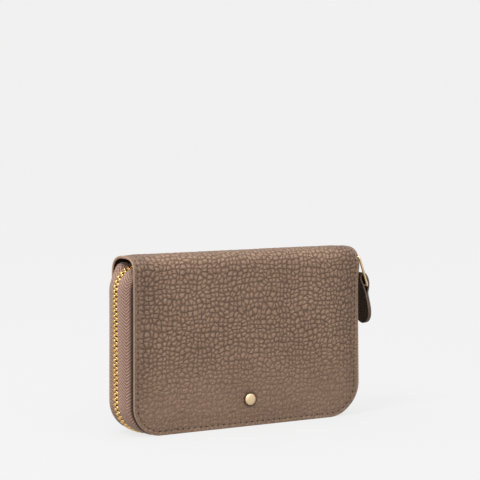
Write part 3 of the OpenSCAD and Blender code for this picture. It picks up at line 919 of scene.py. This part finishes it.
# ---------------------------------------------------------------- pull ring and tab
def split_ring(half_w, long, bend_r, wire_r):
    """A round wire ring in Y and Z, drawn out to a long loop whose upper bar is at the origin."""
    bm = bmesh.new()
    bmesh.ops.create_circle(bm, segments=14, radius=wire_r, matrix=Matrix.Translation((0, bend_r, 0)))
    bmesh.ops.spin(bm, geom=bm.edges[:], cent=(0, 0, 0), axis=(1, 0, 0), angle=2 * math.pi, steps=40,
                   use_merge=True)
    bmesh.ops.remove_doubles(bm, verts=bm.verts, dist=1e-4)
    for vert in bm.verts:
        reach = math.hypot(vert.co.y, vert.co.z)
        for axis, grow in ((1, half_w - bend_r), (2, long / 2 - bend_r)):
            if abs(vert.co[axis]) > reach * 0.05:
                vert.co[axis] += math.copysign(grow, vert.co[axis])
        vert.co.z -= long / 2
    bmesh.ops.recalc_face_normals(bm, faces=bm.faces)
    return bm


RING_LEAN = math.radians(-19.5)
RING_PLACE = Matrix.Translation(pivot("ring_swing")) @ Matrix.Rotation(RING_LEAN, 4, "Y")
finished(turned(split_ring(5.2, 18.4, 2.0, 0.7), RING_PLACE), "ring_wire", "pull_ring", GOLD, ["pull_ring"],
         60)

# the strap's line in X and Z, up its outer leaf, over the ring's bar at the origin and down its inner leaf
TAB_LEAF = (-21.5, -18, -14.5, -11, -7.5)
TAB_LINE = [Vector(p) for p in (*((0.55, z) for z in TAB_LEAF), (0.6, -4.2), (1.15, -2.2), (1.6, 0.2),
                                (1.5, 2.6), (0.7, 5.2), (-0.9, 7.2), (-2.9, 7.0), (-3.6, 5.0), (-3.0, 2.6),
                                (-1.9, 0.2), (-1.15, -2.2), (-0.6, -4.2),
                                *((-0.55, z) for z in reversed(TAB_LEAF)))]
TAB_R = 6.5
TAB_T = 0.96
TAB_NECK = 4.0
TAB_LEAN = math.radians(-2.5)
TAB_STEPS = 120


def pull_tab():
    """One strap folded round the ring's lower bar, narrow at the fold and round at its two ends."""
    long, line = evenly([smooth_line(TAB_LINE, i / 200) for i in range(201)], TAB_STEPS)

    def half_width(v):
        low = min(v, long - v)
        if low > TAB_R:
            return mix(TAB_R, TAB_NECK, ease((low - 7.5) / 12.0))
        return max(0.5, math.sqrt(max(0.0, TAB_R ** 2 - (TAB_R - low) ** 2)))

    def place(u, v, depth):
        t = v / long * TAB_STEPS
        i = min(int(t), TAB_STEPS - 1)
        here = line[i].lerp(line[i + 1], t - i)
        ahead = line[min(i + 2, TAB_STEPS)] - line[max(i - 1, 0)]
        out = Vector((ahead.y, -ahead.x)).normalized() * (TAB_T / 2 - depth)
        return Vector((here.x + out.x, u, here.y + out.y))
    bm = sheet(2 * TAB_R, long, (22, 96), TAB_T, place, lambda u, v: (u / TAB_R * half_width(v), v), 0.2,
               rim_slot=1, inner_slot=2)
    where = Matrix.Translation(pivot("tab_swing")) @ Matrix.Rotation(TAB_LEAN, 4, "Y")
    finished(turned(bm, where), "tab_strap", "pull_tab", [SHADED_TAB_LEATHER, SHADED_TAB_EDGE, FLESH_IN_SHADE], ["pull_tab"],
             60)


pull_tab()


def coin_pull():
    """A bar, a flat grip below it, and the two arms between."""
    parts = [block((1.15, 5.2, 1.15), (0, 0, 0), 0.34, 3), block((1, 5.2, 8), (0, 0, -8), 0.34, 3)]
    parts += [block((1, 1, 4.4), (0, s * 2.1, -2.1), 0.24, 2) for s in (-1, 1)]
    place = pivot("coin_pull_swing")
    finished(turned(joined(*parts), Matrix.Translation(place)), "coin_pull_body", "coin_pull", GOLD,
             ["coin_pull"], 50)


coin_pull()


# ---------------------------------------------------------------- card slots and gussets
def card_slot(half, side, i):
    """A leather layer with its row of stitches along the mouth, at its lower edge."""
    low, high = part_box(f"{half}_card_slot_{i}")
    size = (high - low) / MM
    middle = (low + high) / 2 / MM - Vector((MIDDLE / MM, 0, 0))
    layer = block((size.x, size.y - 0.02, size.z), middle, 0.18, 2)
    inner = middle.y - side * (size.y / 2 - 0.02)
    turn = Matrix.Rotation(math.pi / 2, 4, "Z")
    stitches = repeated(bead((0.35, 1.9, 0.4)), [
        Matrix.Translation((middle.x + 2.6 * (n - 17), inner, middle.z - size.z / 2 + 1.5)) @ turn
        for n in range(35)])
    for face in stitches.faces:
        face.material_index = 1
    finished(joined(layer, stitches), f"{half}_card_layer_{i}", f"{half}_half", [SLOT_LEATHER, THREAD],
             [f"{half}_card_slot_{i}"], 50)


for half, side in (("front", FRONT), ("back", BACK)):
    for i in range(1, 5):
        card_slot(half, side, i)


GUSSET_X = 56
GUSSET_W = 24
GUSSET_T = 0.4


def gusset(name, side, end):
    """A cloth side wall, folded inwards between a cover and the coin pocket."""
    low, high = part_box(name)
    z_low, z_high = low.z / MM, high.z / MM
    tall = z_high - z_low

    def section(z):
        """The fold at a height, from the cover's lining in to the fold and back out to the coin wall."""
        f = min(1.0, max(0.0, (z - z_low) / tall))
        fold = GUSSET_X - mix(17.5, 3, f) + 0.45
        leaf = mix(GUSSET_X, fold, 0.55)
        y_lining = mix(9.65, 8.6, f)
        return [Vector(p) for p in ((GUSSET_X, y_lining), (leaf, mix(y_lining, 5.65, 0.6)), (fold, 5.62),
                                    (fold - 0.4, 5.2), (fold, 4.78), (leaf, 3.9), (GUSSET_X, 3.1))]

    def place(u, v, depth):
        line = section(z_low + v)
        t = u / GUSSET_W + 0.5
        here = smooth_line(line, t)
        ahead = smooth_line(line, t + 0.02) - smooth_line(line, t - 0.02)
        out = Vector((ahead.y, -ahead.x)).normalized() * (GUSSET_T / 2 - depth)
        return Vector((end * (here.x + out.x), side * (here.y + out.y), z_low + v))
    bm = sheet(GUSSET_W, tall, (30, 24), GUSSET_T, place)
    area = sum(face.calc_area() for face in bm.faces) / 2
    piece = finished(bm, name.replace("gusset", "side_wall"), None, GUSSET_CLOTH, [name], 60)
    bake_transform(piece)


for half, side in (("front", FRONT), ("back", BACK)):
    for where, end in (("left", -1), ("right", 1)):
        gusset(f"gusset_{half}_{where}", side, end)


# ---------------------------------------------------------------- CAD nodes that stay, with their finish
def dress(material, *names):
    for name in names:
        node = frame["nodes"][name]
        node.data.materials.clear()
        node.data.materials.append(material)


dress(GOLD, "stud_washer", "zip_bottom_stop", "front_top_stop", "back_top_stop", "coin_zip_stops",
      "coin_zip_teeth")
dress(BOARD, "front_board", "back_board")
dress(LINING_CLOTH, "front_lining", "back_lining", "spine_lining", "coin_wall_front", "coin_wall_back",
      "coin_side_left", "coin_side_right", "front_card_backing", "back_card_backing")
dress(COIN_TAPE, "coin_zip_tapes")


# ---------------------------------------------------------------- floor, light and camera
PALE = 0.876
LIGHT_FROM = Vector((-0.3, -0.32, 0.9)).normalized()
LIGHT_FALL = {"From Min": -0.5, "From Max": 1.0, "To Min": 0.12, "To Max": 2.3}
LAMPS = (("key", (-0.75, -0.3, 1.2), 0.4, 10), ("fill", (0.9, -1.0, 0.5), 1.0, 0.5))
LAMP_AIM = Vector((0, 0, 0.05))


def aim(thing, place, target):
    """Puts a lamp or camera at a place, in metres, and turns it to a target."""
    thing.location = place
    thing.rotation_euler = (target - Vector(place)).to_track_quat("-Z", "Y").to_euler()
    bpy.context.scene.collection.objects.link(thing)


def floor():
    """A pale floor that glows evenly to the eye, and throws a softer glow up at the wallet."""
    bm = bmesh.new()
    bmesh.ops.create_grid(bm, x_segments=1, y_segments=1, size=4)
    mesh = bpy.data.meshes.new("floor")
    bm.to_mesh(mesh)
    bm.free()
    ground = bpy.data.objects.new("floor", mesh)
    bpy.context.scene.collection.objects.link(ground)
    r = Recipe("lit floor", Roughness=1.0, Specular_IOR_Level=0.0, Emission_Color=(1, 1, 1, 1))
    seen = r.node("ShaderNodeLightPath").outputs["Is Camera Ray"]
    r.put(r.spread(seen, 0.0, 1.0, 0.5, 0.775), r.shader.inputs["Emission Strength"])
    mesh.materials.append(r.done(r.blend(r.noise(r.place(), 3.0), (0.070,) * 3, (0.074,) * 3)))


def backdrop():
    """An even pale backdrop, with light that is strongest from high on the front left."""
    world = bpy.data.worlds.new("studio")
    world.use_nodes = True
    nodes, links = world.node_tree.nodes, world.node_tree.links
    seen = nodes["Background"]
    seen.inputs["Color"].default_value = (PALE, PALE, PALE, 1)
    lighting = nodes.new("ShaderNodeBackground")
    toward = nodes.new("ShaderNodeVectorMath")
    toward.operation = "DOT_PRODUCT"
    toward.inputs[1].default_value = LIGHT_FROM
    links.new(nodes.new("ShaderNodeTexCoord").outputs["Generated"], toward.inputs[0])
    shade = nodes.new("ShaderNodeMapRange")
    for socket, number in LIGHT_FALL.items():
        shade.inputs[socket].default_value = number
    links.new(toward.outputs["Value"], shade.inputs["Value"])
    links.new(shade.outputs["Result"], lighting.inputs["Strength"])
    choice = nodes.new("ShaderNodeMixShader")
    links.new(nodes.new("ShaderNodeLightPath").outputs["Is Camera Ray"], choice.inputs["Fac"])
    links.new(lighting.outputs[0], choice.inputs[1])
    links.new(seen.outputs[0], choice.inputs[2])
    links.new(choice.outputs[0], nodes["World Output"].inputs["Surface"])
    bpy.context.scene.world = world


def lamps():
    for name, place, size, power in LAMPS:
        light = bpy.data.lights.new(name, "AREA")
        light.size = size
        light.energy = power
        aim(bpy.data.objects.new(name, light), place, LAMP_AIM)


def camera():
    lens = bpy.data.cameras.new("camera")
    lens.lens = 128.6
    eye = bpy.data.objects.new("camera", lens)
    aim(eye, (-476.3 * MM + MIDDLE, -799.9 * MM, 169.0 * MM), Vector((0.95 * MM + MIDDLE, 0, 100.4 * MM)))
    bpy.context.scene.camera = eye


floor()
backdrop()
lamps()
camera()
bpy.context.scene.view_settings.view_transform = "Standard"
